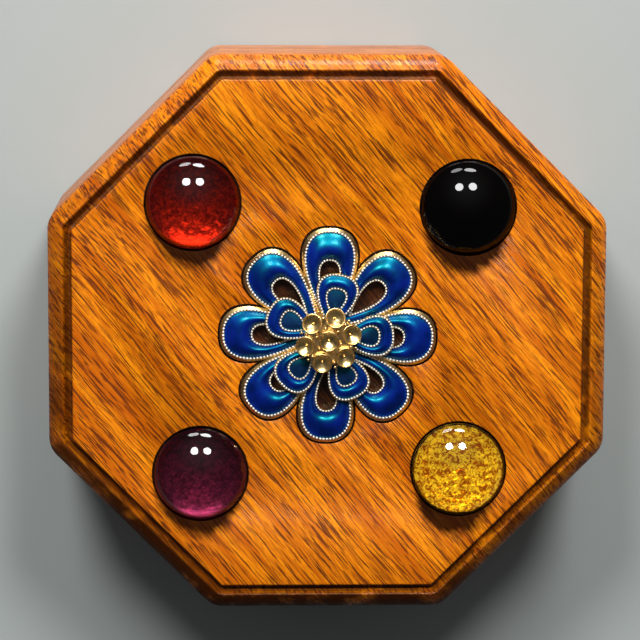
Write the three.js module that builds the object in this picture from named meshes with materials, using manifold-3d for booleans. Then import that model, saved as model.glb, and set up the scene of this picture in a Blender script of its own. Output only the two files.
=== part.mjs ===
// An eight-sided wooden trinket box with a lift-off lid. Four domed glass stones and a layered
// flower of gilt metal and blue enamel are let into the lid's face.
// Millimetres, +Z up. The origin is the middle of the underside. +X and +Y run across the flats.

import * as THREE from "three";
import Module from "manifold-3d";
import { mergeVertices } from "three/addons/utils/BufferGeometryUtils.js";

// Box: overall sizes
const ACROSS_FLATS = 120;
const BASE_HEIGHT = 22; // underside to the joint
const LID_HEIGHT = 24; // joint to the raised field
const CORNER_RADIUS = 5.5; // the eight upright corners, outside
const CORNER_STEPS = 2;

// Box: walls
const WALL = 7;
const FLOOR = 5;
const TOP_BOARD = 8; // wood left under the raised field
const HOLLOW_CORNER_RADIUS = 2;
const FOOT_ROUND = 1.5; // rounded edge round the underside
const FOOT_STEPS = 3;

// Joint: a lip on the base stands inside a rabbet in the lid
const LIP_THICKNESS = 3;
const LIP_HEIGHT = 3.5;
const LIP_CLEARANCE = 0.3; // between the lip and the rabbet, sideways
const LIP_HEADROOM = 0.5; // between the lip and the rabbet's roof
const JOINT_CHAMFER = 0.4; // eased edges that make the dark seam

// Lid face: a half-round moulding, a groove and the raised field inside it
const MOULDING_WIDTH = 3; // outer face to the moulding's crest
const MOULDING_DROP = 2.6; // crest down to the straight side
const CREST_BELOW_FIELD = 0.2;
const GROOVE_SLOPE = 1.5; // crest to the groove's flat bottom
const GROOVE_FLAT = 0.6;
const GROOVE_DEPTH = 1.75; // below the field
const FIELD_CHAMFER = 0.35;
const MOULDING_STEPS = 4;
const SLOPE_STEPS = 2;
const LEAST_CORNER_RADIUS = 0.4; // what is left of the corner radius deep inside the border

// Glass stones: each stands in a round pocket, near a slanting side of the field
const STONE_DIAMETER = 20;
const STONE_GIRDLE = 1.75; // height of the upright edge
const STONE_DOME = 4.75; // height of the dome over it
const STONE_INSET = 14.2; // edge of the field to a stone's middle
const STONE_STEPS = 24;
const DOME_STEPS = 4;
const POCKET_CLEARANCE = 0.6;
const POCKET_DEPTH = 1.5;
const GLUE_LINE = 0.05;
const STONES = [
  { name: "red_stone", angle: 135.3, color: 0x9e0b0f },
  { name: "black_stone", angle: 42.6, color: 0x0a0808 },
  { name: "purple_stone", angle: 227.7, color: 0x5b0f45 },
  { name: "amber_stone", angle: 314.1, color: 0xd9a404 },
];

// Flower: outer layer of petals, each with a drop-shaped opening
const OUTER_PETALS = 8;
const OUTER_FIRST_ANGLE = 88.7;
const OUTER_APEX = 3; // flower's middle to the pointed end of a petal's cell
const OUTER_TIP = 22.45; // flower's middle to the wire round a petal's rounded end
const OUTER_HALF_WIDTH = 5.25;
const OUTER_FLANGE = 0.8; // foot of the sloping metal edge, outside the wire
const OUTER_THICKNESS = 2;
const OUTER_POINTS = 16;
const OPENING_APEX = 6.6;
const OPENING_TIP = 16.2;
const OPENING_HALF_WIDTH = 2.1;
const PLATE_CENTRE_RADIUS = 13.9; // metal that ties the petals together

// Flower: inner layer of petals, each with a drop-shaped eye
const INNER_ANGLES = [79, 3.5, -64.5, -134, 154.5];
const UPPER_SHIFT_Y = -0.4; // the upper layers are pinned a little off the middle
const INNER_APEX = 2.4;
const INNER_TIP = 13.9;
const INNER_HALF_WIDTH = 4.2;
const INNER_FLANGE = 0.35;
const INNER_THICKNESS = 0.9;
const INNER_POINTS = 14;
const INNER_CENTRE_RADIUS = 5.5;
const EYE_APEX = 5;
const EYE_TIP = 11;
const EYE_HALF_WIDTH = 2.15;
const EYE_POINTS = 10;

// Flower: enamel, which fills the cells and swells over the wires
const WIRE = 0.6; // thickness of the wires that part the cells
const CELL_DEPTH = 0.5;
const ENAMEL_CLEARANCE = 0.1;
const ENAMEL_EDGE = 0.1; // the enamel's edge under the top of the wire
const ENAMEL_SWELL = 0.7; // crest over the edge
const EYE_SWELL = 0.25;
const LAYER_GAP = 0.2; // between one layer's enamel and the metal above it
const RECESS_CLEARANCE = 0.7;
const RECESS_DEPTH = 1.25;
const DROP_FULLNESS = 0.85; // 1 is a plain drop, and less makes its round end rounder
const DROP_TAPER = 1.2; // more makes its pointed end slimmer

// Flower: small dishes in its middle, six round one
const RING_CUPS = 6;
const CUP_FIRST_ANGLE = 14;
const CUP_RING_RADIUS = 5;
const CUP_RADIUS = 2.2;
const CUP_FOOT_RADIUS = 1;
const CUP_HEIGHT = 1.7;
const CUP_WALL = 0.3;
const CUP_DISH = 1; // depth of the hollow
const CUP_SINK = 0.4; // how far a cup is let into its carrier
const CUP_TILT = 14; // the outer cups lean outwards
const CUP_STEPS = 12;
const CENTRE_CUP_RISE = 0.9;
const CUP_CARRIER_THICKNESS = 1;
const CUP_CARRIER_MARGIN = 0.8; // carrier inside the outer cups' far edge
const BOSS_CLEARANCE = 0.4; // round the boss under a layer
const BOSS_STEPS = 12;

const WELD = 1e-4;
const EIGHTH = Math.PI / 4;

// What follows from the sizes above
const FIELD_Z = BASE_HEIGHT + LID_HEIGHT;
const BORDER = MOULDING_WIDTH + GROOVE_SLOPE + GROOVE_FLAT;
const FIELD_APOTHEM = ACROSS_FLATS / 2 - BORDER;
const STONE_RADIUS = STONE_DIAMETER / 2;
const STONE_DISTANCE = FIELD_APOTHEM - STONE_INSET;
const OUTER_BOTTOM = -RECESS_DEPTH + GLUE_LINE;
const OUTER_TOP = OUTER_BOTTOM + OUTER_THICKNESS;
const INNER_BOTTOM = OUTER_TOP - ENAMEL_EDGE + ENAMEL_SWELL + LAYER_GAP;
const INNER_TOP = INNER_BOTTOM + INNER_THICKNESS;
const CARRIER_BOTTOM = INNER_TOP - ENAMEL_EDGE + ENAMEL_SWELL + LAYER_GAP;
const CARRIER_TOP = CARRIER_BOTTOM + CUP_CARRIER_THICKNESS;

const WOOD = new THREE.MeshStandardMaterial({ color: 0xb8651a, roughness: 0.38, metalness: 0 });
const GILT = new THREE.MeshStandardMaterial({ color: 0xe2b65a, roughness: 0.28, metalness: 1 });
const BLUE = new THREE.MeshStandardMaterial({ color: 0x0a3fa6, roughness: 0.15, metalness: 0.3 });
const TEAL = new THREE.MeshStandardMaterial({ color: 0x1b6288, roughness: 0.2, metalness: 0.2 });

const wasm = await Module();
wasm.setup();

// A geometry as a solid that can be joined and cut.
function solidOf(geometry) {
  const bare = geometry.clone();
  for (const name of ["normal", "uv"]) {
    bare.deleteAttribute(name);
  }
  const welded = mergeVertices(bare, WELD);
  return new wasm.Manifold(
    new wasm.Mesh({
      numProp: 3,
      vertProperties: welded.getAttribute("position").array,
      triVerts: new Uint32Array(welded.index.array),
    }),
  );
}

function geometryOf(solid) {
  const mesh = solid.getMesh();
  const geometry = new THREE.BufferGeometry();
  geometry.setAttribute("position", new THREE.BufferAttribute(mesh.vertProperties, 3));
  geometry.setIndex(new THREE.BufferAttribute(mesh.triVerts, 1));
  geometry.computeVertexNormals();
  return geometry;
}

function joined(geometries) {
  return geometries.map(solidOf).reduce((whole, piece) => whole.add(piece));
}

function without(solid, cutters) {
  return cutters.map(solidOf).reduce((left, cutter) => left.subtract(cutter), solid);
}

// A skin over rings of equally many points, each ring joined to the next. A closed loft joins the last
// ring to the first. An open one is closed by a fan over its first and its last ring.
function loft(rings, closed = false) {
  const size = rings[0].length;
  const points = rings.flat();
  const faces = [];
  const joins = closed ? rings.length : rings.length - 1;
  for (let r = 0; r < joins; r++) {
    const here = r * size;
    const next = ((r + 1) % rings.length) * size;
    for (let i = 0; i < size; i++) {
      const j = (i + 1) % size;
      faces.push(here + i, here + j, next + j, here + i, next + j, next + i);
    }
  }
  if (!closed) {
    const last = (rings.length - 1) * size;
    const start = points.push(middleOf(rings[0])) - 1;
    const end = points.push(middleOf(rings[rings.length - 1])) - 1;
    for (let i = 0; i < size; i++) {
      const j = (i + 1) % size;
      faces.push(start, j, i, end, last + i, last + j);
    }
  }
  const geometry = new THREE.BufferGeometry().setFromPoints(points);
  geometry.setIndex(faces);
  geometry.computeVertexNormals();
  return geometry;
}

function middleOf(ring) {
  return ring.reduce((sum, p) => sum.add(p), new THREE.Vector3()).divideScalar(ring.length);
}

function prism(outline, bottom, top) {
  const geometry = new THREE.ExtrudeGeometry(new THREE.Shape(outline), {
    depth: top - bottom,
    bevelEnabled: false,
  });
  return geometry.translate(0, 0, bottom);
}

function disc(radius, bottom, top, steps) {
  const geometry = new THREE.CylinderGeometry(radius, radius, top - bottom, steps);
  return geometry.rotateX(Math.PI / 2).translate(0, 0, (bottom + top) / 2);
}

// A profile of [radius, height] pairs turned about the Z axis.
function turned(profile, steps) {
  const points = profile.map(([radius, height]) => new THREE.Vector2(radius, height));
  return new THREE.LatheGeometry(points, steps).rotateX(Math.PI / 2);
}

// One level ring round the octagon, drawn in from the box's outer faces by an offset.
function octagonRing(offset, z, radius = Math.max(CORNER_RADIUS - offset, LEAST_CORNER_RADIUS)) {
  const apothem = ACROSS_FLATS / 2 - offset;
  const ring = [];
  for (let corner = 0; corner < 8; corner++) {
    const heading = (corner + 0.5) * EIGHTH;
    const centre = (apothem - radius) / Math.cos(EIGHTH / 2);
    for (let step = 0; step <= CORNER_STEPS; step++) {
      const angle = heading + (step / CORNER_STEPS - 0.5) * EIGHTH;
      ring.push(
        new THREE.Vector3(
          centre * Math.cos(heading) + radius * Math.cos(angle),
          centre * Math.sin(heading) + radius * Math.sin(angle),
          z,
        ),
      );
    }
  }
  return ring;
}

const hollowRing = (z) => octagonRing(WALL, z, HOLLOW_CORNER_RADIUS);

function baseGeometry() {
  const rings = [];
  for (let step = 0; step <= FOOT_STEPS; step++) {
    const turn = ((step / FOOT_STEPS) * Math.PI) / 2;
    rings.push(octagonRing(FOOT_ROUND * (1 - Math.sin(turn)), FOOT_ROUND * (1 - Math.cos(turn))));
  }
  const lipFace = WALL - LIP_THICKNESS;
  rings.push(
    octagonRing(0, BASE_HEIGHT - JOINT_CHAMFER),
    octagonRing(JOINT_CHAMFER, BASE_HEIGHT),
    octagonRing(lipFace, BASE_HEIGHT),
    octagonRing(lipFace, BASE_HEIGHT + LIP_HEIGHT - JOINT_CHAMFER),
    octagonRing(lipFace + JOINT_CHAMFER, BASE_HEIGHT + LIP_HEIGHT),
    hollowRing(BASE_HEIGHT + LIP_HEIGHT),
    hollowRing(FLOOR),
  );
  return loft(rings);
}

// The lid's blank in its own frame, with the joint at z = 0.
function lidBlank() {
  const rabbet = WALL - LIP_THICKNESS - LIP_CLEARANCE;
  const rabbetRoof = LIP_HEIGHT + LIP_HEADROOM;
  const crest = LID_HEIGHT - CREST_BELOW_FIELD;
  const rings = [
    hollowRing(LID_HEIGHT - TOP_BOARD),
    hollowRing(rabbetRoof),
    octagonRing(rabbet, rabbetRoof),
    octagonRing(rabbet, 0),
    octagonRing(JOINT_CHAMFER, 0),
    octagonRing(0, JOINT_CHAMFER),
  ];
  for (let step = 0; step <= MOULDING_STEPS; step++) {
    const turn = ((step / MOULDING_STEPS) * Math.PI) / 2;
    rings.push(
      octagonRing(MOULDING_WIDTH * (1 - Math.cos(turn)), crest - MOULDING_DROP * (1 - Math.sin(turn))),
    );
  }
  const slopeDrop = GROOVE_DEPTH - CREST_BELOW_FIELD;
  for (let step = 1; step <= SLOPE_STEPS; step++) {
    const turn = ((step / SLOPE_STEPS) * Math.PI) / 2;
    rings.push(
      octagonRing(MOULDING_WIDTH + GROOVE_SLOPE * Math.sin(turn), crest - slopeDrop * (1 - Math.cos(turn))),
    );
  }
  rings.push(
    octagonRing(BORDER, LID_HEIGHT - GROOVE_DEPTH),
    octagonRing(BORDER, LID_HEIGHT - FIELD_CHAMFER),
    octagonRing(BORDER + FIELD_CHAMFER, LID_HEIGHT),
  );
  return loft(rings);
}

function lidGeometry() {
  const above = LID_HEIGHT + RECESS_DEPTH;
  const pockets = STONES.map(({ angle }) => {
    const place = polar(STONE_DISTANCE, angle);
    const bottom = LID_HEIGHT - POCKET_DEPTH;
    return disc(STONE_RADIUS + POCKET_CLEARANCE, bottom, above, STONE_STEPS).translate(place.x, place.y, 0);
  });
  const edge = OUTER_FLANGE + RECESS_CLEARANCE;
  const recess = outerSilhouette(edge, edge, LID_HEIGHT - RECESS_DEPTH, above);
  return geometryOf(without(solidOf(lidBlank()), pockets).subtract(recess));
}

function polar(distance, degrees) {
  const angle = THREE.MathUtils.degToRad(degrees);
  return new THREE.Vector2(distance * Math.cos(angle), distance * Math.sin(angle));
}

function stoneGeometry() {
  const round = (STONE_RADIUS ** 2 + STONE_DOME ** 2) / (2 * STONE_DOME); // radius of the dome's sphere
  const sweep = Math.asin(STONE_RADIUS / round);
  const profile = [
    [0, 0],
    [STONE_RADIUS, 0],
  ];
  for (let step = 0; step < DOME_STEPS; step++) {
    const angle = sweep * (1 - step / DOME_STEPS);
    profile.push([round * Math.sin(angle), STONE_GIRDLE + STONE_DOME - round * (1 - Math.cos(angle))]);
  }
  profile.push([0, STONE_GIRDLE + STONE_DOME]);
  return turned(profile, STONE_STEPS);
}

// Height of the drop's outline at a share of its length, with the sharp end at 0.
function dropHeight(share) {
  return (share * (1 - share)) ** (DROP_FULLNESS / 2) * share ** (DROP_TAPER / 2);
}

// A drop shape along +X, pointed at apex and rounded at tip, grown all round by a margin.
function drop(count, apex, tip, halfWidth, margin = 0) {
  const peak = dropHeight((DROP_FULLNESS + DROP_TAPER) / (2 * DROP_FULLNESS + DROP_TAPER));
  const outline = [];
  for (let i = 0; i < count; i++) {
    const turn = (i / count) * 2 * Math.PI;
    const share = (1 - Math.cos(turn)) / 2;
    const side = -Math.sign(Math.sin(turn)) * (dropHeight(share) / peak);
    outline.push(
      new THREE.Vector2(
        apex - margin + share * (tip - apex + 2 * margin),
        side * (halfWidth + margin),
      ),
    );
  }
  return outline;
}

const outerDrop = (margin) => drop(OUTER_POINTS, OUTER_APEX, OUTER_TIP, OUTER_HALF_WIDTH, margin);
const openingDrop = (margin) => drop(OUTER_POINTS, OPENING_APEX, OPENING_TIP, OPENING_HALF_WIDTH, margin);
const innerDrop = (margin) => drop(INNER_POINTS, INNER_APEX, INNER_TIP, INNER_HALF_WIDTH, margin);
const eyeDrop = (margin, count) => drop(count, EYE_APEX, EYE_TIP, EYE_HALF_WIDTH, margin);

const lifted = (outline, z) => outline.map((p) => new THREE.Vector3(p.x, p.y, z));
const turnedBy = (degrees, geometry) => geometry.rotateZ(THREE.MathUtils.degToRad(degrees));
const outerAngles = Array.from(
  { length: OUTER_PETALS },
  (_, i) => OUTER_FIRST_ANGLE - (i * 360) / OUTER_PETALS,
);

// The eight petals joined at the middle, grown by one margin at the foot and another at the top.
function outerSilhouette(footMargin, topMargin, bottom, top) {
  const petals = outerAngles.map((angle) =>
    turnedBy(angle, loft([lifted(outerDrop(footMargin), bottom), lifted(outerDrop(topMargin), top)])),
  );
  return joined([...petals, disc(PLATE_CENTRE_RADIUS, bottom, top, 3 * OUTER_PETALS)]);
}

// Cells are cut between the wires, and leave an island of metal round each opening.
function outerPetalsGeometry() {
  const cellFloor = OUTER_TOP - CELL_DEPTH;
  const above = OUTER_TOP + CELL_DEPTH;
  let plate = outerSilhouette(OUTER_FLANGE, WIRE / 2, OUTER_BOTTOM, OUTER_TOP);
  for (const angle of outerAngles) {
    const cell = prism(outerDrop(-WIRE / 2), cellFloor, above);
    const island = prism(openingDrop(WIRE), cellFloor - CELL_DEPTH, above + CELL_DEPTH);
    const opening = prism(openingDrop(0), OUTER_BOTTOM - CELL_DEPTH, above);
    plate = plate.subtract(solidOf(turnedBy(angle, cell)).subtract(solidOf(turnedBy(angle, island))));
    plate = plate.subtract(solidOf(turnedBy(angle, opening)));
  }
  return geometryOf(plate);
}

// A ring of enamel between an outer and an inner drop, swollen between them.
function enamelRing(outer, inner, floor, top) {
  const crest = (share) =>
    outer.map((p, i) => new THREE.Vector3(...p.clone().lerp(inner[i], share).toArray(), top + ENAMEL_SWELL));
  return loft(
    [
      lifted(outer, top),
      crest(1 / 3),
      crest(2 / 3),
      lifted(inner, top),
      lifted(inner, floor),
      lifted(outer, floor),
    ],
    true,
  );
}

function outerEnamelGeometry() {
  return enamelRing(
    outerDrop(-WIRE / 2 - ENAMEL_CLEARANCE),
    openingDrop(WIRE + ENAMEL_CLEARANCE),
    OUTER_TOP - CELL_DEPTH + GLUE_LINE,
    OUTER_TOP - ENAMEL_EDGE,
  );
}

function innerPetalsGeometry() {
  const cellFloor = INNER_TOP - CELL_DEPTH;
  const above = INNER_TOP + CELL_DEPTH;
  const bossRadius = OUTER_APEX + WIRE / 2 - BOSS_CLEARANCE + UPPER_SHIFT_Y;
  const petals = INNER_ANGLES.map((angle) =>
    turnedBy(angle, prism(innerDrop(INNER_FLANGE), INNER_BOTTOM, INNER_TOP)),
  );
  let plate = joined([
    ...petals,
    disc(INNER_CENTRE_RADIUS, INNER_BOTTOM, INNER_TOP, BOSS_STEPS),
    disc(bossRadius, OUTER_TOP + GLUE_LINE, INNER_TOP, BOSS_STEPS),
  ]);
  for (const angle of INNER_ANGLES) {
    const cell = prism(innerDrop(-WIRE / 2), cellFloor, above);
    const wire = prism(eyeDrop(WIRE / 2, INNER_POINTS), cellFloor - CELL_DEPTH, above + CELL_DEPTH);
    const eye = prism(eyeDrop(-WIRE / 2, EYE_POINTS), cellFloor, above);
    plate = plate.subtract(solidOf(turnedBy(angle, cell)).subtract(solidOf(turnedBy(angle, wire))));
    plate = plate.subtract(solidOf(turnedBy(angle, eye)));
  }
  return geometryOf(plate);
}

function innerEnamelGeometry() {
  const edge = WIRE / 2 + ENAMEL_CLEARANCE;
  return enamelRing(
    innerDrop(-edge),
    eyeDrop(edge, INNER_POINTS),
    INNER_TOP - CELL_DEPTH + GLUE_LINE,
    INNER_TOP - ENAMEL_EDGE,
  );
}

function eyeEnamelGeometry() {
  const top = INNER_TOP - ENAMEL_EDGE;
  const outline = eyeDrop(-WIRE / 2 - ENAMEL_CLEARANCE, EYE_POINTS);
  const middle = outline.reduce((sum, p) => sum.add(p), new THREE.Vector2()).divideScalar(outline.length);
  const drawnIn = outline.map((p) => p.clone().lerp(middle, 0.5));
  return loft([
    lifted(outline, INNER_TOP - CELL_DEPTH + GLUE_LINE),
    lifted(outline, top),
    lifted(drawnIn, top + EYE_SWELL),
  ]);
}

function cupGeometry() {
  return turned(
    [
      [0, 0],
      [CUP_FOOT_RADIUS, 0],
      [CUP_RADIUS, CUP_HEIGHT],
      [CUP_RADIUS - CUP_WALL, CUP_HEIGHT],
      [CUP_FOOT_RADIUS, CUP_HEIGHT - CUP_DISH],
      [0, CUP_HEIGHT - CUP_DISH],
    ],
    CUP_STEPS,
  );
}

// Seven cups on a round carrier, with a boss that stands on the inner petals.
function cupClusterGeometry() {
  const bossRadius = INNER_APEX + WIRE / 2 - BOSS_CLEARANCE;
  const carrierRadius = CUP_RING_RADIUS + CUP_RADIUS - CUP_CARRIER_MARGIN;
  const cups = Array.from({ length: RING_CUPS }, (_, i) =>
    turnedBy(
      CUP_FIRST_ANGLE + (i * 360) / RING_CUPS,
      cupGeometry()
        .rotateY(THREE.MathUtils.degToRad(CUP_TILT))
        .translate(CUP_RING_RADIUS, 0, CARRIER_TOP - CUP_SINK),
    ),
  );
  return geometryOf(
    joined([
      disc(bossRadius, INNER_TOP + GLUE_LINE, CARRIER_TOP, BOSS_STEPS),
      disc(carrierRadius, CARRIER_BOTTOM, CARRIER_TOP, 2 * BOSS_STEPS),
      disc(CUP_RADIUS, CARRIER_BOTTOM, CARRIER_TOP + CENTRE_CUP_RISE, CUP_STEPS),
      cupGeometry().translate(0, 0, CARRIER_TOP + CENTRE_CUP_RISE - CUP_SINK),
      ...cups,
    ]),
  );
}

function mesh(name, geometry, material, turn = 0) {
  const made = new THREE.Mesh(geometry, material);
  made.name = name;
  made.rotation.z = THREE.MathUtils.degToRad(turn);
  return made;
}

function stone({ name, angle, color }) {
  const glass = new THREE.MeshStandardMaterial({ color, roughness: 0.05, metalness: 0 });
  const made = mesh(name, stoneGeometry(), glass);
  const place = polar(STONE_DISTANCE, angle);
  made.position.set(place.x, place.y, -POCKET_DEPTH + GLUE_LINE);
  return made;
}

function outerLayer() {
  const group = new THREE.Group();
  group.add(mesh("outer_petals", outerPetalsGeometry(), GILT));
  outerAngles.forEach((angle, i) => {
    group.add(mesh(`outer_enamel_${i + 1}`, outerEnamelGeometry(), BLUE, angle));
  });
  return group;
}

function upperLayers() {
  const group = new THREE.Group();
  group.position.y = UPPER_SHIFT_Y;
  group.add(mesh("inner_petals", innerPetalsGeometry(), GILT));
  INNER_ANGLES.forEach((angle, i) => {
    group.add(mesh(`inner_enamel_${i + 1}`, innerEnamelGeometry(), BLUE, angle));
    group.add(mesh(`eye_enamel_${i + 1}`, eyeEnamelGeometry(), TEAL, angle));
  });
  group.add(mesh("cup_cluster", cupClusterGeometry(), GILT));
  return group;
}

function lid() {
  const group = new THREE.Group();
  group.position.z = BASE_HEIGHT;
  group.add(mesh("lid", lidGeometry(), WOOD));
  return group;
}

// What is set into the lid's face, in a frame with z = 0 on the raised field.
function setting() {
  const group = new THREE.Group();
  group.position.z = FIELD_Z;
  STONES.forEach((entry) => group.add(stone(entry)));
  group.add(outerLayer(), upperLayers());
  return group;
}

const box = new THREE.Group();
box.add(mesh("base", baseGeometry(), WOOD), lid(), setting());

export default box;
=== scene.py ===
"""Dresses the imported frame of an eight-sided wooden trinket box and sets it in a plain studio.

All sizes are in metres in the frame's own axes: +Z up, with the box's underside at z = 0.
"""

import math
from typing import NamedTuple

import bpy
import numpy as np
from bpy.props import FloatProperty, FloatVectorProperty, IntProperty, PointerProperty
from bpy.types import Operator, Panel, PropertyGroup
from mathutils import Matrix, Vector, noise


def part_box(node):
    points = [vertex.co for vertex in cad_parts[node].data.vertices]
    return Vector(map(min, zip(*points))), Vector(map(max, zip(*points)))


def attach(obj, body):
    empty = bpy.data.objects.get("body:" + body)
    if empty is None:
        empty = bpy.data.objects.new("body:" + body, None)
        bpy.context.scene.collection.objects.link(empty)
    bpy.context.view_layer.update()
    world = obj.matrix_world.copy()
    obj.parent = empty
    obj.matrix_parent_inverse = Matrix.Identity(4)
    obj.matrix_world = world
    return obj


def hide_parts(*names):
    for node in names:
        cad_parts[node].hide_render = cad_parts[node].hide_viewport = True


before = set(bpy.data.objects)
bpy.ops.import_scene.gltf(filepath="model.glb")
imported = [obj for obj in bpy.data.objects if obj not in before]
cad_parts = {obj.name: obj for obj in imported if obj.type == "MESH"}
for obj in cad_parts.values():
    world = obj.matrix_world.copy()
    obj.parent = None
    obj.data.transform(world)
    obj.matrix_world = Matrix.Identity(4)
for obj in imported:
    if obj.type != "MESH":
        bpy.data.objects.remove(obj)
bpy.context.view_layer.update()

bl_info = {
    "name": "Wooden Trinket Box",
    "version": (1, 0, 0),
    "blender": (4, 5, 0),
    "location": "3D View > Sidebar > Trinket Box",
    "description": "Builds an octagonal wooden box with glass stones and an enamelled flower on its lid",
    "category": "Object",
}

MM = 0.001
EIGHTH = math.pi / 4
BODY = "root"
STONE_COLOURS = ("red", "black", "purple", "amber")
OUTER_PETALS = 8

# Corners of the octagon are never sharper than this
LEAST_RADIUS = 0.4 * MM
# How far a cutter runs on past the face that it cuts
OVERRUN = 1 * MM
# Handles of the rim moulding's curve, as shares of its width and of its drop
MOULDING_HANDLES = ((0.15, 0.67), (0.73, 0.135))


class Foil(NamedTuple):
    """Crinkled metal foil behind a stone.

    Crinkle is the height of its folds. The margin is from the stone's edge to where the bright metal
    ends, and the last field is the strength of a glow painted on the foil, which stands in for the
    light that the dome gathers onto it.
    """

    bright: tuple
    dark: tuple
    flecks_per_mm: float
    crinkle: float
    margin: float
    metallic: float
    roughness: float
    gathered: float


FOILS = {
    "red": Foil(
        bright=(1.0, 0.75, 0.4),
        dark=(0.38, 0.18, 0.1),
        flecks_per_mm=1.0,
        crinkle=0.09 * MM,
        margin=-0.8 * MM,
        metallic=0.9,
        roughness=0.2,
        gathered=0.0,
    ),
    "purple": Foil(
        bright=(0.78, 0.45, 0.52),
        dark=(0.3, 0.16, 0.24),
        flecks_per_mm=0.9,
        crinkle=0.06 * MM,
        margin=-0.8 * MM,
        metallic=0.9,
        roughness=0.17,
        gathered=0.0,
    ),
    "amber": Foil(
        bright=(1.0, 0.8, 0.16),
        dark=(0.3, 0.08, 0.004),
        flecks_per_mm=0.95,
        crinkle=0.34 * MM,
        margin=1.0 * MM,
        metallic=0.5,
        roughness=0.26,
        # A painted glow inside the amber foil
        gathered=0.56,
    ),
}

# Taken from the frame
_, BASE_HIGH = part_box("base")
LID_LOW, LID_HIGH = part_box("lid")
OUTER_LOW, OUTER_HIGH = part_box("outer_petals")
INNER_LOW, INNER_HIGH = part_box("inner_petals")
CUPS_LOW, CUPS_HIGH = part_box("cup_cluster")
ACROSS_FLATS = LID_HIGH.x - LID_LOW.x
JOINT_Z = LID_LOW.z
FIELD_Z = LID_HIGH.z
LIP_HEIGHT = BASE_HIGH.z - JOINT_Z


# Sizes and colours that a user may change


def length(name, description, millimetres):
    return FloatProperty(name=name, description=description, default=millimetres * MM, unit="LENGTH")


def tint(name, description, colour):
    return FloatVectorProperty(name=name, description=description, default=colour, subtype="COLOR")


class BoxSizes(PropertyGroup):
    """Sizes of the two wooden halves."""

    wall: length("Wall", "Thickness of the side walls", 7)
    floor: length("Floor", "Thickness of the base's floor", 5)
    top_board: length("Top Board", "Wood left under the raised field", 8)
    corner_radius: length("Corner Radius", "Radius of the upright corners", 5.5)
    hollow_radius: length("Hollow Radius", "Radius of the corners inside", 2)
    foot_round: length("Foot Round", "Rounded edge round the underside", 1.5)
    lip: length("Lip", "Thickness of the base's lip", 3)
    lip_clearance: length("Lip Clearance", "Gap between the lip and the lid", 0.3)
    lip_headroom: length("Lip Headroom", "Gap over the lip inside the lid", 0.5)
    lip_bevel: length("Lip Bevel", "Bevelled inner edge of the lip", 0.3)
    joint_round: length("Joint Round", "Eased edges where base and lid meet", 0.4)
    moulding_width: length("Moulding Width", "Outer face to the moulding's crest", 3)
    moulding_drop: length("Moulding Drop", "Crest to the straight side", 2.6)
    crest_drop: length("Crest Drop", "How far the crest lies under the field", 0.2)
    crest_round: length("Crest Round", "Rounded edge from the crest into the groove", 0.4)
    groove_slope: length("Groove Slope", "Crest to the groove's bottom, sideways", 1.5)
    groove_flat: length("Groove Flat", "Width of the groove's flat bottom", 0.6)
    groove_depth: length("Groove Depth", "Depth of the groove under the field", 1.75)
    groove_round: length("Groove Round", "Rounded inner corner of the groove", 0.25)
    field_round: length("Field Round", "Rounded edge of the raised field", 0.45)
    corner_steps: IntProperty(
        name="Corner Steps", description="Facets round one upright corner", default=10, min=2
    )


class SettingSizes(PropertyGroup):
    """Sizes of the glass stones, their foils and their pockets."""

    girdle: length("Girdle", "Height of a stone's upright edge", 1.75)
    edge_round: length("Edge Round", "Rounded lower edge of a stone", 0.3)
    pocket_clearance: length("Pocket Clearance", "Gap round a stone", 0.45)
    pocket_depth: length("Pocket Depth", "Depth of a stone's pocket", 1.5)
    pocket_ease: length("Pocket Ease", "Eased upper edge of the pockets", 0.12)
    foil_inset: length("Foil Inset", "Stone's edge to the foil's edge", 0.2)
    foil_rise: length("Foil Rise", "How far the foil lies inside the glass", 0.25)
    foil_side: FloatProperty(
        name="Foil Side", description="Share of the girdle that the foil covers", default=0.7
    )
    foil_thickness: length("Foil Thickness", "Thickness of the foil's upright edge", 0.06)
    foil_dome: length("Foil Dome", "Foil's middle over its edge", 0.4)
    crease_size: length("Crease Size", "Distance between the foil's creases", 1.3)


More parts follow.
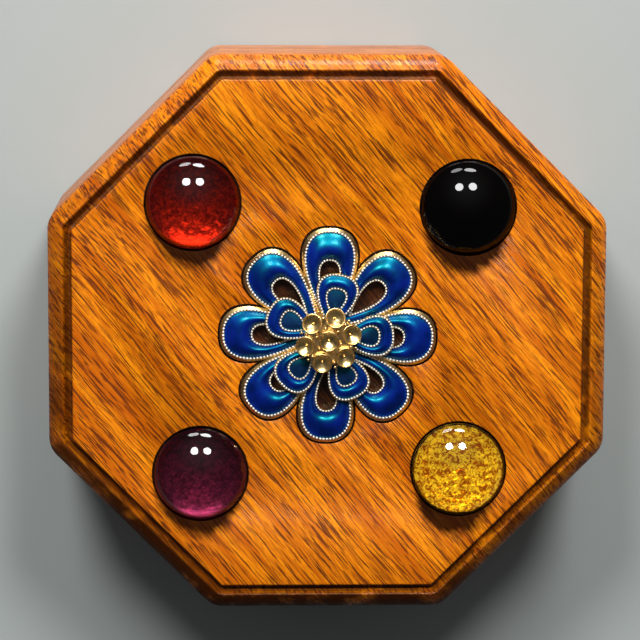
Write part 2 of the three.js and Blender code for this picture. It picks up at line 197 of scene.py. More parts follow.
class FlowerSizes(PropertyGroup):
    """Sizes of the layered metal flower."""

    outer_apex: length("Outer Apex", "Middle to the pointed end of an outer petal", 3)
    outer_tip: length("Outer Tip", "Middle to the wire at an outer petal's tip", 22.45)
    outer_half: length("Outer Half Width", "Half the width of an outer petal", 5.25)
    outer_angle: FloatProperty(
        name="Outer Angle",
        description="Direction of the first outer petal",
        default=math.radians(88.7),
        subtype="ANGLE",
    )
    flange: length("Flange", "Foot of the sloping metal edge outside the wire", 0.8)
    flange_drop: length("Flange Drop", "Top of the wire to the flange's upright edge", 0.8)
    opening_apex: length("Opening Apex", "Middle to the pointed end of an opening", 6.6)
    opening_tip: length("Opening Tip", "Middle to the rounded end of an opening", 16.2)
    opening_half: length("Opening Half Width", "Half the width of an opening", 2.1)
    centre_radius: length("Centre Radius", "Metal that ties the outer petals together", 13.9)
    upper_shift: length("Upper Shift", "Upper layers off the middle, along Y", -0.4)
    inner_apex: length("Inner Apex", "Middle to the pointed end of an inner petal", 2.4)
    inner_tip: length("Inner Tip", "Middle to the wire at an inner petal's tip", 13.9)
    inner_half: length("Inner Half Width", "Half the width of an inner petal", 4.2)
    inner_flange: length("Inner Flange", "Metal outside an inner petal's wire", 0.35)
    inner_thickness: length("Inner Thickness", "Thickness of the inner plate", 0.9)
    inner_centre_radius: length("Inner Centre Radius", "Metal in the inner plate's middle", 5.5)
    eye_apex: length("Eye Apex", "Middle to the inner end of an eye", 5)
    eye_tip: length("Eye Tip", "Middle to the rounded end of an eye", 11)
    eye_half: length("Eye Half Width", "Half the width of an eye", 2.15)
    wire: length("Wire", "Width of the metal under the beads", 0.34)
    bead_radius: length("Bead Radius", "Radius of a bead on a wire", 0.29)
    bead_pitch: length("Bead Pitch", "Distance from bead to bead", 0.73)
    cell_depth: length("Cell Depth", "Depth of the enamel's cells", 0.5)
    enamel_gap: length("Enamel Gap", "Gap between enamel and wire", 0.02)
    enamel_edge: length("Enamel Edge", "Enamel's edge under the top of the wire", 0.1)
    enamel_swell: length("Enamel Swell", "Enamel's crest over its edge at most", 1.3)
    inner_swell: length("Inner Swell", "Inner enamel's crest over its edge at most", 0.68)
    eye_swell: length("Eye Swell", "Middle of an eye's enamel over its edge", 0.3)
    recess_clearance: length("Recess Clearance", "Gap round the flower", 0.4)
    recess_depth: length("Recess Depth", "Depth of the flower's recess", 1.25)
    fullness: FloatProperty(
        name="Fullness", description="1 is a plain drop, and less makes a rounder end", default=0.85
    )
    taper: FloatProperty(
        name="Taper", description="More makes a drop's pointed end slimmer", default=1.2
    )
    cup_radius: length("Cup Radius", "Radius of a cup's rim", 2.2)
    cup_height: length("Cup Height", "Height of a cup", 1.7)
    cup_foot: length("Cup Foot", "Radius of a cup's foot", 1)
    cup_ring: length("Cup Ring", "Middle to the middles of the outer cups", 4.7)
    cup_angle: FloatProperty(
        name="Cup Angle",
        description="Direction of the first outer cup",
        default=math.radians(14),
        subtype="ANGLE",
    )
    cup_tilt: FloatProperty(
        name="Cup Tilt",
        description="How far the outer cups lean out",
        default=math.radians(14),
        subtype="ANGLE",
    )
    centre_cup_rise: length("Centre Cup Rise", "Middle cup over the others", 0.9)


class Finishes(PropertyGroup):
    """Colours of the materials, as linear red, green and blue."""

    wood_light: tint("Light Wood", "Palest wood", (1.0, 0.31, 0.004))
    wood_dark: tint("Dark Wood", "Darkest figure in the wood", (0.57, 0.115, 0.001))
    pores: tint("Pores", "Short dark lines in the grain", (0.11, 0.016, 0.001))
    # Stain colour, which also paints shade in the groove and on the rim's sides away from the lamps
    stain: tint("Stain", "Dark stain in hollows and on the rim", (0.055, 0.012, 0.001))
    # Bare dark wood, also used as painted shade deep in the pockets and as the painted shadows below the
    # stones
    pocket_stain: tint("Pocket Stain", "Bare dark wood in the pockets", (0.018, 0.005, 0.002))
    beads: tint("Beads", "Pale bright metal of the beads", (1.0, 0.96, 0.88))
    gilt: tint("Gilt", "Pale gold plating", (0.98, 0.7, 0.3))
    blue: tint("Blue Enamel", "Enamel of the petals", (0.003, 0.008, 0.21))
    enamel_shine: tint("Enamel Shine", "Tint of light the enamel throws back", (0.003, 0.34, 0.36))
    teal: tint("Teal Enamel", "Enamel of the eyes", (0.006, 0.015, 0.08))
    red: tint("Red Glass", "Colour of the red stone", (0.93, 0.036, 0.013))
    purple: tint("Purple Glass", "Colour of the purple stone", (0.62, 0.085, 0.22))
    amber: tint("Amber Glass", "Colour of the amber stone", (1.0, 0.62, 0.02))
    black: tint("Black Glass", "Colour of the black stone", (0.0008, 0.0005, 0.0004))
    ground: tint("Ground", "Pale studio floor", (0.42, 0.455, 0.44))


class StageSettings(PropertyGroup):
    """The camera and the lights."""

    focal_length: FloatProperty(
        name="Focal Length", description="Camera lens in millimetres on a 36 mm sensor", default=168.75
    )
    key_distance: FloatProperty(
        name="Key Distance", description="Lid to the two main lamps", default=0.9, unit="LENGTH"
    )
    key_size: FloatProperty(
        name="Key Size", description="Diameter of a main lamp", default=0.23, unit="LENGTH"
    )
    key_power: FloatProperty(
        name="Key Power", description="Power of a main lamp in watts", default=5.0
    )
    low_power: FloatProperty(
        name="Low Lamp Power", description="Power of a low lamp in watts", default=1.8
    )
    glow: FloatProperty(
        name="Glow", description="Strength of the soft glow about the lamps", default=0.25
    )
    fill: FloatProperty(
        name="Fill", description="Strength of the even light from all round", default=0.05
    )


GROUPS = {
    "trinket_box": BoxSizes,
    "trinket_settings": SettingSizes,
    "trinket_flower": FlowerSizes,
    "trinket_finishes": Finishes,
    "trinket_stage": StageSettings,
}


def sizes(name):
    return getattr(bpy.context.scene, f"trinket_{name}")


# Mesh helpers


def polar(distance, angle, z=0.0):
    return Vector((distance * math.cos(angle), distance * math.sin(angle), z))


def octagon_ring(offset, z, radius=None):
    """Points of a level ring round the octagon, drawn in from the outer faces by offset."""
    box = sizes("box")
    if radius is None:
        radius = max(box.corner_radius - offset, LEAST_RADIUS)
    centre = (ACROSS_FLATS / 2 - offset - radius) / math.cos(EIGHTH / 2)
    ring = []
    for corner in range(8):
        heading = (corner + 0.5) * EIGHTH
        for step in range(box.corner_steps + 1):
            angle = heading + (step / box.corner_steps - 0.5) * EIGHTH
            ring.append(polar(centre, heading, z) + polar(radius, angle))
    return np.array(ring)


def quarter_round(start, end, bulge_first, steps=6):
    """(offset, height) pairs on a quarter of an ellipse from start to end, without start itself.

    It leaves start level when bulge_first is "offset", and upright when it is "height".
    """
    pairs = []
    for step in range(1, steps + 1):
        turn = step / steps * math.pi / 2
        quick, slow = math.sin(turn), 1 - math.cos(turn)
        if bulge_first == "offset":
            shares = (quick, slow)
        else:
            shares = (slow, quick)
        pairs.append(tuple(a + (b - a) * share for a, b, share in zip(start, end, shares)))
    return pairs


def loft(rings, closed=False, turn=0.0):
    """Vertices and faces of a skin over rings of equally many points.

    A closed loft joins its last ring to its first, and an open one gets a flat end on each.
    """
    size = len(rings[0])
    points = np.concatenate([np.asarray(ring, float) for ring in rings])
    faces = []
    for r in range(len(rings) if closed else len(rings) - 1):
        here, there = r * size, (r + 1) % len(rings) * size
        for i in range(size):
            j = (i + 1) % size
            faces.append((here + i, here + j, there + j, there + i))
    if not closed:
        last = (len(rings) - 1) * size
        faces.append(tuple(reversed(range(size))))
        faces.append(tuple(range(last, last + size)))
    if turn:
        points = turned(points, turn)
    return points, faces


def turned(points, angle):
    """Points turned about the Z axis."""
    spin = np.array(Matrix.Rotation(angle, 3, "Z"))
    return np.asarray(points) @ spin.T


def lathe(profile, steps):
    """Vertices and faces of a profile of (radius, height) pairs turned about Z, with flat ends."""
    rings = []
    for radius, height in profile:
        rings.append([polar(radius, 2 * math.pi * i / steps, height) for i in range(steps)])
    return loft(rings)


def moved(shape, x=0.0, y=0.0, z=0.0):
    """(vertices, faces) moved over."""
    points, faces = shape
    return points + np.array([x, y, z]), faces


def together(parts):
    """Several (vertices, faces) as one."""
    points, faces, start = [], [], 0
    for part_points, part_faces in parts:
        points.append(np.asarray(part_points))
        faces.extend(tuple(start + i for i in face) for face in part_faces)
        start += len(part_points)
    return np.concatenate(points), faces


def solid(name, shape, material=None):
    """A new mesh object from (vertices, faces)."""
    points, faces = shape
    mesh = bpy.data.meshes.new(name)
    mesh.from_pydata([tuple(point) for point in points], [], faces)
    mesh.validate()
    if material:
        mesh.materials.append(material)
    made = bpy.data.objects.new(name, mesh)
    bpy.context.scene.collection.objects.link(made)
    return made


def finish_piece(made, nodes, crease=35):
    """Smooths a piece, fixes it to the box and hides the nodes of the frame that it stands for.

    Edges stay sharp where they turn by more than crease, in degrees.
    """
    made.data.shade_smooth()
    made.data.set_sharp_from_angle(angle=math.radians(crease))
    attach(made, BODY)
    if nodes:
        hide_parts(*nodes)
    return made


def cut(target, shape):
    """Cuts a shape of (vertices, faces), whose own parts may cross, out of a mesh object."""
    cutter = solid("cutter", shape)
    modifier = target.modifiers.new("cut", "BOOLEAN")
    modifier.operation = "DIFFERENCE"
    modifier.solver = "EXACT"
    modifier.use_self = True
    modifier.object = cutter
    graph = bpy.context.evaluated_depsgraph_get()
    result = bpy.data.meshes.new_from_object(target.evaluated_get(graph))
    if not result.polygons:
        raise RuntimeError(f"Nothing was left of {target.name} after a cut")
    target.modifiers.clear()
    target.data = result
    bpy.data.objects.remove(cutter)
    return target


# Material helpers


class Graph:
    """Adds nodes to a material or a world. An input given a socket is linked, and a value is set."""

    def __init__(self, owner, shader="Principled BSDF"):
        owner.use_nodes = True
        self.owner = owner
        self.tree = owner.node_tree
        self.shader = self.tree.nodes[shader]

    def add(self, kind, inputs=None, **settings):
        node = self.tree.nodes.new(f"ShaderNode{kind}")
        for key, value in settings.items():
            setattr(node, key, value)
        self.fill(node, inputs or {})
        return node

    def fill(self, node, inputs):
        for key, value in inputs.items():
            if isinstance(value, bpy.types.NodeSocket):
                self.tree.links.new(value, node.inputs[key])
            else:
                node.inputs[key].default_value = value

    def math(self, operation, *values):
        inputs = dict(enumerate(values))
        return self.add("Math", inputs, operation=operation).outputs[0]

    def mix(self, factor, first, second):
        node = self.add("Mix", data_type="RGBA")
        self.fill(node, {0: factor, 6: first, 7: second})
        return node.outputs[2]

    def choose(self, factor, first, second):
        """The first vector where factor is 0, the second where it is 1."""
        node = self.add("Mix", data_type="VECTOR")
        self.fill(node, {0: factor, 4: first, 5: second})
        return node.outputs[1]

    def ramp(self, factor, low, high):
        """0 where factor is at low or beyond it, 1 at high or beyond it, and a smooth step between."""
        inputs = {"Value": factor, "From Min": low, "From Max": high}
        return self.add("MapRange", inputs, interpolation_type="SMOOTHSTEP").outputs[0]

    def place(self, scale=1 / MM):
        """Places in the box's own frame, in millimetres unless scale says otherwise."""
        coordinates = self.add("TexCoord").outputs["Object"]
        return self.scaled(coordinates, (scale,) * 3)

    def scaled(self, vector, scale):
        return self.add("Mapping", {"Vector": vector, "Scale": scale}).outputs[0]

    def turn(self, vector, angle):
        inputs = {"Vector": vector, "Angle": angle}
        return self.add("VectorRotate", inputs, rotation_type="Z_AXIS").outputs[0]

    def noise(self, vector, detail=2.0, roughness=0.5, scale=1.0, distortion=0.0):
        inputs = {
            "Vector": vector,
            "Scale": scale,
            "Detail": detail,
            "Roughness": roughness,
            "Distortion": distortion,
        }
        return self.add("TexNoise", inputs).outputs[0]

    def bump(self, height, distance, strength):
        inputs = {"Height": height, "Distance": distance, "Strength": strength}
        return self.add("Bump", inputs).outputs[0]

    def shade(self, **inputs):
        names = {key.replace("_", " "): value for key, value in inputs.items()}
        self.fill(self.shader, names)
        return self.owner


def new_graph(name):
    return Graph(bpy.data.materials.new(name))


def opaque(colour):
    return (*colour, 1.0)


def grain_places(g, here, axes):
    """Places with X along the grain, which slants across the lid and is level on each of the sides."""
    box = sizes("box")
    grain_turn = math.radians(50)
    on_top = g.turn(g.scaled(here, (1, 1, 0.25)), grain_turn)
    heading = g.math("ARCTAN2", axes.outputs[1], axes.outputs[0])
    facing = g.math("SNAP", g.math("ADD", heading, EIGHTH / 2), EIGHTH)
    on_side = g.turn(here, g.math("SUBTRACT", math.pi / 2, facing))
    side_top = (FIELD_Z - box.crest_drop - box.moulding_drop) / MM
    along = g.choose(g.math("LESS_THAN", axes.outputs[2], side_top), on_top, on_side)
    wander = g.noise(g.scaled(here, (0.03, 0.03, 0.03)), detail=1)
    shift = g.math("MULTIPLY", g.math("SUBTRACT", wander, 0.5), 2.2)
    bend = g.add("CombineXYZ", {"Y": shift, "Z": shift}).outputs[0]
    return g.add("VectorMath", {0: along, 1: bend}).outputs[0]


def grain_colours(g, grain):
    """Colour of the clear wood, with its pores, its broad bands and its streaks as heights."""
    colours = sizes("finishes")
    dark = opaque(colours.wood_dark)
    figure = g.noise(g.scaled(grain, (0.008, 0.1, 0.1)), detail=3, roughness=0.6)
    bands = g.noise(g.scaled(grain, (0.015, 0.45, 0.45)), detail=4, roughness=0.6)
    streaks = g.noise(g.scaled(grain, (0.07, 2.1, 2.1)), detail=3, roughness=0.6)
    lines = g.noise(g.scaled(grain, (0.1, 2.6, 2.6)), detail=2, roughness=0.5)
    specks = g.noise(g.scaled(grain, (0.2, 3.4, 3.4)), detail=1, roughness=0.4)
    mottle = g.noise(g.scaled(grain, (0.7, 1.6, 1.6)), detail=2, roughness=0.6)
    tone = g.math("ADD", g.math("MULTIPLY", figure, 0.4), g.math("MULTIPLY", bands, 0.6))
    colour = g.mix(g.ramp(tone, 0.36, 0.6), dark, opaque(colours.wood_light))
    colour = g.mix(g.math("MULTIPLY", g.ramp(streaks, 0.56, 0.4), 0.65), colour, dark)
    colour = g.mix(g.math("MULTIPLY", g.ramp(mottle, 0.55, 0.35), 0.35), colour, dark)
    dense = g.math("MULTIPLY_ADD", g.ramp(figure, 0.62, 0.4), 0.6, 0.4)
    short = g.math("MULTIPLY", g.ramp(specks, 0.45, 0.36), dense)
    pores = g.math("MAXIMUM", g.ramp(lines, 0.46, 0.38), short)
    colour = g.mix(g.math("MULTIPLY", pores, 0.88), colour, opaque(colours.pores))
    return colour, pores, bands, streaks


def rim_stains(g, axes, patchy):
    """How much stain and painted shade darken the groove, the rim and the pockets, each from 0 to 1."""
    box = sizes("box")
    x, y, z = (g.math("ABSOLUTE", axes.outputs[i]) for i in range(3))
    slanting = g.math("MULTIPLY", g.math("ADD", x, y), math.sqrt(0.5))
    outward = g.math("MAXIMUM", g.math("MAXIMUM", x, y), slanting)
    inward = g.math("SUBTRACT", ACROSS_FLATS / 2 / MM, outward)
    border = (box.moulding_width + box.groove_slope + box.groove_flat) / MM
    darkest = border - 0.5 * box.groove_flat / MM - 0.45
    from_darkest = g.math("ABSOLUTE", g.math("SUBTRACT", inward, darkest))
    # Painted shade in the groove, mixed with its stain
    groove = g.math("MULTIPLY", g.ramp(from_darkest, 1.15, 0.6), g.ramp(patchy, 0.2, 0.5))
    # The rim is darker towards -X and -Y: stain, with painted shade on the sides away from the lamps
    amount = g.math("MULTIPLY_ADD", axes.outputs[0], -0.0035, 0.42)
    amount = g.math("MULTIPLY_ADD", axes.outputs[1], -0.012, amount)
    amount = g.math("MULTIPLY", amount, g.ramp(patchy, 0.0, 0.6))
    rim = g.math("MULTIPLY", g.ramp(inward, border - 0.4, border - 2.4), amount)
    field = FIELD_Z / MM
    # Painted shade deep in the pockets and the flower's recess, where the wood is also bare and dark
    pocket_wood_and_shade = g.math("MULTIPLY", g.ramp(z, field - 0.02, field - 0.22), g.ramp(z, field - 6, field - 3))
    pocket_wood_and_shade = g.math("MULTIPLY", pocket_wood_and_shade, g.ramp(inward, border + 0.2, border + 0.6))
    return groove, rim, pocket_wood_and_shade


def stone_smudges(g, here, patchy, streaks):
    """How much painted shadow darkens the wood just below each stone, from 0 to 1."""
    # Each painted shadow is moved a little below its stone, away from the lamps
    shift = Vector((-0.3, -2.4, 0)) * MM
    narrowed = (1.25, 1, 0)
    painted_shadows = 0.0
    for colour in STONE_COLOURS:
        middle, radius, _, _ = stone_place(colour)
        offset = g.add("VectorMath", {0: here, 1: (middle + shift) / MM}, operation="SUBTRACT")
        away = g.add("VectorMath", {0: g.scaled(offset.outputs[0], narrowed)}, operation="LENGTH")
        ragged = g.math("MULTIPLY_ADD", streaks, 3.0, away.outputs["Value"])
        ragged = g.math("MULTIPLY_ADD", patchy, -5.0, ragged)
        painted_shadow = g.ramp(ragged, radius / MM + 2.2, radius / MM - 1.0)
        painted_shadows = g.math("MAXIMUM", painted_shadows, g.math("MULTIPLY", painted_shadow, 0.97))
    return painted_shadows


def wood_material():
    """Stained and lacquered wood, with its grain running down to the right across the lid."""
    colours = sizes("finishes")
    g = new_graph("lacquered_wood")
    here = g.place()
    axes = g.add("SeparateXYZ", {0: here})
    colour, pores, bands, streaks = grain_colours(g, grain_places(g, here, axes))
    patchy = g.noise(here, detail=3, roughness=0.6, scale=0.16)
    groove, rim, pocket_wood_and_shade = rim_stains(g, axes, patchy)
    # Some grain shows through the pockets' painted shade
    pocket_wood_and_shade = g.math("MULTIPLY", pocket_wood_and_shade, g.math("MULTIPLY_ADD", streaks, 0.44, 0.76))
    # Painted shadows below the stones
    painted_shadows = stone_smudges(g, here, patchy, streaks)
    # Stain and painted shade in the groove and on the rim
    stain = g.math("MAXIMUM", g.math("MULTIPLY", groove, 0.85), rim)
    colour = g.mix(stain, colour, opaque(colours.stain))
    # Painted shade in the pockets and painted shadows below the stones
    colour = g.mix(g.math("MAXIMUM", pocket_wood_and_shade, painted_shadows), colour, opaque(colours.pocket_stain))

    # The lacquer is thinner where the stone shadows are painted and on the darker rim
    polish = g.math("SUBTRACT", 1.0, g.math("MAXIMUM", painted_shadows, g.math("MULTIPLY", rim, 0.75)))
    rough = g.math("MULTIPLY_ADD", pores, 0.2, g.math("MULTIPLY_ADD", bands, 0.16, 0.3))
    relief = g.math("SUBTRACT", g.math("MULTIPLY", streaks, 0.5), pores)
    return g.shade(
        Base_Color=colour,
        Roughness=rough,
        Normal=g.bump(relief, 0.08 * MM, 0.8),
        Specular_IOR_Level=g.math("MULTIPLY", polish, 0.1),
        Coat_Weight=g.math("MULTIPLY", polish, 0.55),
        Coat_Roughness=0.19,
        Coat_Normal=g.bump(relief, 0.05 * MM, 0.5),
    )


def gilt_material():
    """Pale gold plating, a little uneven."""
    g = new_graph("gilt")
    here = g.place()
    colour = opaque(sizes("finishes").gilt)
    tarnish = g.noise(here, detail=3, scale=0.5)
    tarnished = (0.6, 0.38, 0.13, 1)
    tone = g.mix(g.math("MULTIPLY", g.ramp(tarnish, 0.6, 0.35), 0.4), colour, tarnished)
    rough = g.math("MULTIPLY_ADD", tarnish, 0.16, 0.2)
    normal = g.bump(g.noise(here, detail=2, scale=2.5), 0.04 * MM, 0.5)
    return g.shade(Base_Color=tone, Metallic=1.0, Roughness=rough, Normal=normal)


def bead_material():
    """Bright pale metal for the beads."""
    g = new_graph("bright_beads")
    shade = g.noise(g.place(), detail=1, scale=0.8)
    rough = g.math("MULTIPLY_ADD", shade, 0.15, 0.28)
    return g.shade(Base_Color=opaque(sizes("finishes").beads), Metallic=0.6, Roughness=rough)


def enamel_material(name, colour):
    """Deep clear enamel whose shine is green-blue."""
    g = new_graph(name)
    here = g.place()
    cloud = g.noise(here, detail=3, scale=0.3)
    deep = tuple(0.4 * part for part in colour)
    tone = g.mix(g.ramp(cloud, 0.3, 0.7), opaque(deep), opaque(colour))
    under = g.bump(g.noise(here, detail=2, scale=1.4), 0.05 * MM, 0.4)
    rough = g.math("MULTIPLY_ADD", cloud, 0.1, 0.27)
    return g.shade(
        Base_Color=tone,
        Roughness=rough,
        IOR=2.6,
        Specular_Tint=opaque(sizes("finishes").enamel_shine),
        Normal=under,
        Coat_Weight=0.06,
        Coat_Roughness=0.05,
    )


def glass_flow(g):
    """The faint waviness of a moulded glass face."""
    return g.bump(g.noise(g.place(), detail=1, scale=0.25), 0.05 * MM, 0.08)


def glass_material(name, colour):
    """Clear coloured glass with a polished face."""
    g = new_graph(name)
    return g.shade(
        Base_Color=opaque(colour),
        Roughness=0.015,
        IOR=1.5,
        Transmission_Weight=1.0,
        Normal=glass_flow(g),
    )


def black_glass_material():
    """Glass too dark to see into, with a polished face."""
    g = new_graph("black_glass")
    black = opaque(sizes("finishes").black)
    return g.shade(Base_Color=black, Roughness=0.03, IOR=1.34, Normal=glass_flow(g))


def foil_material(name, foil, stone_radius):
    """Crinkled metal foil with duller patches and grit, and a dark edge where its bright metal ends."""
    g = new_graph(name)
    here = g.place()
    dark = opaque(foil.dark)
    patches = g.noise(here, detail=4, roughness=0.7, scale=foil.flecks_per_mm, distortion=0.9)
    tone = g.mix(g.ramp(patches, 0.4, 0.58), dark, opaque(foil.bright))
    grit = g.noise(here, detail=2, roughness=0.6, scale=2.7 * foil.flecks_per_mm)
    tone = g.mix(g.math("MULTIPLY", g.ramp(grit, 0.5, 0.36), 0.7), tone, dark)
    axes = g.add("SeparateXYZ", {0: here})
    flat = g.add("CombineXYZ", {"X": axes.outputs[0], "Y": axes.outputs[1]}).outputs[0]
    distance = g.add("VectorMath", {0: flat}, operation="LENGTH").outputs["Value"]
    ragged = g.math("MULTIPLY_ADD", g.noise(here, detail=3, scale=0.7), 0.8, distance)
    reach = (stone_radius - foil.margin) / MM
    near_black = (0.01, 0.006, 0.003, 1)
    tone = g.mix(g.ramp(ragged, reach, reach + 0.5), tone, near_black)
    creases = g.noise(here, detail=3, roughness=0.6, scale=2.2)
    return g.shade(
        Base_Color=tone,
        Metallic=foil.metallic,
        Roughness=foil.roughness,
        Normal=g.bump(creases, 0.06 * MM, 0.8),
        # The emission is a painted glow, standing in for light that the dome gathers onto the foil
        Emission_Color=tone,
        Emission_Strength=foil.gathered,
    )


def plain_material(name, colour):
    """A matt studio surface, with the faintest unevenness."""
    g = new_graph(name)
    cloud = g.noise(g.place(1.0), detail=4, scale=2.0)
    tone = g.mix(cloud, opaque(colour), opaque(tuple(0.94 * part for part in colour)))
    return g.shade(Base_Color=tone, Roughness=0.75)


# The wooden halves


def hollow_ring(z):
    box = sizes("box")
    return octagon_ring(box.wall, z, box.hollow_radius)


def build_base():
    box = sizes("box")
    lip_face = box.wall - box.lip
    lip_top = JOINT_Z + LIP_HEIGHT
    ease, bevel = box.joint_round, box.lip_bevel
    profile = [
        (box.foot_round, 0.0),
        *quarter_round((box.foot_round, 0.0), (0.0, box.foot_round), "offset"),
        (0.0, JOINT_Z - ease),
        *quarter_round((0.0, JOINT_Z - ease), (ease, JOINT_Z), "height", 4),
        (lip_face, JOINT_Z),
        (lip_face, lip_top - ease),
        *quarter_round((lip_face, lip_top - ease), (lip_face + ease, lip_top), "height", 4),
        (box.wall - bevel, lip_top),
    ]
    rings = [octagon_ring(offset, z) for offset, z in profile]
    rings.append(octagon_ring(box.wall - bevel, lip_top, box.hollow_radius))
    rings.extend([hollow_ring(lip_top - bevel), hollow_ring(box.floor)])
    made = solid("base_wood", loft(rings), wood_material())
    return finish_piece(made, ["base"])


def moulding(width, drop_height, crest, steps=14):
    """(offset, height) pairs from the lid's side up a full curve that still climbs at the crest."""
    shares = ((0.0, 1.0), *MOULDING_HANDLES, (1.0, 0.0))
    corners = [np.array([across * width, crest - down * drop_height]) for across, down in shares]
    pairs = []
    for step in range(1, steps + 1):
        far = step / steps
        near = 1 - far
        weights = (near**3, 3 * near**2 * far, 3 * near * far**2, far**3)
        point = sum(weight * corner for weight, corner in zip(weights, corners))
        pairs.append(tuple(point))
    return pairs


def lid_profile():
    """(offset, height) pairs from the lid's joint face, up the side and over the moulding to the field."""
    box = sizes("box")
    ease = box.joint_round
    crest = FIELD_Z - box.crest_drop
    groove = FIELD_Z - box.groove_depth
    brink = (box.moulding_width + box.crest_round, crest - 1.05 * box.crest_round)
    slope_end = box.moulding_width + box.groove_slope
    border = slope_end + box.groove_flat
    inner_corner = (border - box.groove_round, groove)
    field_side = (border, FIELD_Z - box.field_round)
    return [
        (ease, JOINT_Z),
        *quarter_round((ease, JOINT_Z), (0.0, JOINT_Z + ease), "offset", 4),
        (0.0, crest - box.moulding_drop),
        *moulding(box.moulding_width, box.moulding_drop, crest),
        *quarter_round((box.moulding_width, crest), brink, "offset", 4),
        (slope_end, groove),
        inner_corner,
        *quarter_round(inner_corner, (border, groove + box.groove_round), "offset", 3),
        field_side,
        *quarter_round(field_side, (border + box.field_round, FIELD_Z), "height", 5),
    ]


def drop(count, apex, tip, half, margin=0.0):
    """Outline of a drop along +X, pointed at apex and rounded at tip, grown all round by margin."""
    flower = sizes("flower")
    full, taper = flower.fullness, flower.taper

    def height(share):
        return (share * (1 - share)) ** (full / 2) * share ** (taper / 2)

    peak = height((full + taper) / (2 * full + taper))
    outline = []
    for i in range(count):
        turn = 2 * math.pi * i / count
        share = (1 - math.cos(turn)) / 2
        side = -math.copysign(1, math.sin(turn)) * height(share) / peak
        outline.append((apex - margin + share * (tip - apex + 2 * margin), side * (half + margin)))
    return np.array(outline)


def outer_drop(margin, count=64):
    flower = sizes("flower")
    return drop(count, flower.outer_apex, flower.outer_tip, flower.outer_half, margin)


def opening_drop(margin, count=64):
    flower = sizes("flower")
    return drop(count, flower.opening_apex, flower.opening_tip, flower.opening_half, margin)


def inner_drop(margin, count=56):
    flower = sizes("flower")
    return drop(count, flower.inner_apex, flower.inner_tip, flower.inner_half, margin)


def eye_drop(margin, count=56):
    flower = sizes("flower")
    return drop(count, flower.eye_apex, flower.eye_tip, flower.eye_half, margin)


def level(outline, z):
    return np.column_stack([outline, np.full(len(outline), z)])


def outer_angles():
    first = sizes("flower").outer_angle
    return [first - i * 2 * math.pi / OUTER_PETALS for i in range(OUTER_PETALS)]


def inner_angles():
    """Directions of the five inner petals, which aren't evenly placed."""
    return [math.radians(degrees) for degrees in (79, 3.5, -64.5, -134, 154.5)]


def stone_place(colour):
    """Middle, radius, foot and top of a stone in the frame."""
    low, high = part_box(f"{colour}_stone")
    return (low + high) / 2, (high.x - low.x) / 2, low.z, high.z


def eased_wall(edge, bottom):
    """(edge, height) pairs up the wall of a pocket that opens a little at the lid's face."""
    ease = sizes("settings").pocket_ease
    return [
        (edge, bottom),
        (edge, FIELD_Z - ease),
        (edge + 0.3 * ease, FIELD_Z - 0.4 * ease),
        (edge + ease, FIELD_Z),
        (edge + ease, FIELD_Z + OVERRUN),
    ]


def pocket_cutters():
    """Round pockets for the stones."""
    setting = sizes("settings")
    shapes = []
    for colour in STONE_COLOURS:
        middle, stone_radius, _, _ = stone_place(colour)
        wall = eased_wall(stone_radius + setting.pocket_clearance, FIELD_Z - setting.pocket_depth)
        shapes.append(moved(lathe(wall, 96), middle.x, middle.y))
    return shapes


def recess_cutters():
    """The flower's recess in the lid, a petal at a time."""
    flower = sizes("flower")
    bottom = FIELD_Z - flower.recess_depth
    wall = eased_wall(flower.flange + flower.recess_clearance, bottom)
    shapes = []
    for angle in outer_angles():
        shapes.append(loft([level(outer_drop(margin, 72), z) for margin, z in wall], turn=angle))
    centre = [(flower.centre_radius, bottom), (flower.centre_radius, FIELD_Z + OVERRUN)]
    return [*shapes, lathe(centre, 96)]


def build_lid():
    box = sizes("box")
    rabbet = box.wall - box.lip - box.lip_clearance
    roof = JOINT_Z + LIP_HEIGHT + box.lip_headroom
    rings = [
        hollow_ring(FIELD_Z - box.top_board),
        hollow_ring(roof),
        octagon_ring(rabbet, roof),
        octagon_ring(rabbet, JOINT_Z),
        *(octagon_ring(offset, z) for offset, z in lid_profile()),
    ]
    made = solid("lid_wood", loft(rings), wood_material())
    cut(made, together([*pocket_cutters(), *recess_cutters()]))
    return finish_piece(made, ["lid"])


# The stones


def build_stone(colour, material, dome_steps=28):
    setting = sizes("settings")
    middle, radius, foot, top = stone_place(colour)
    dome = top - foot - setting.girdle
    sphere = (radius**2 + dome**2) / (2 * dome)
    sweep = math.asin(radius / sphere)
    ease = setting.edge_round
    start = (radius - ease, foot)
    profile = [start, *quarter_round(start, (radius, foot + ease), "offset", 4)]
    for step in range(dome_steps):
        angle = sweep * (1 - step / dome_steps)
        profile.append((sphere * math.sin(angle), top - sphere * (1 - math.cos(angle))))
    made = solid(f"{colour}_stone_glass", moved(lathe(profile, 96), middle.x, middle.y), material)
    return finish_piece(made, [f"{colour}_stone"], crease=30)


def fold_height(point, seed):
    """How high the foil is folded at a point, with sharp valleys between the folds."""
    where = Vector((point.x, point.y, seed * MM)) / sizes("settings").crease_size
    return abs(noise.noise(where)) + 0.5 * abs(noise.noise(where * 2.3))


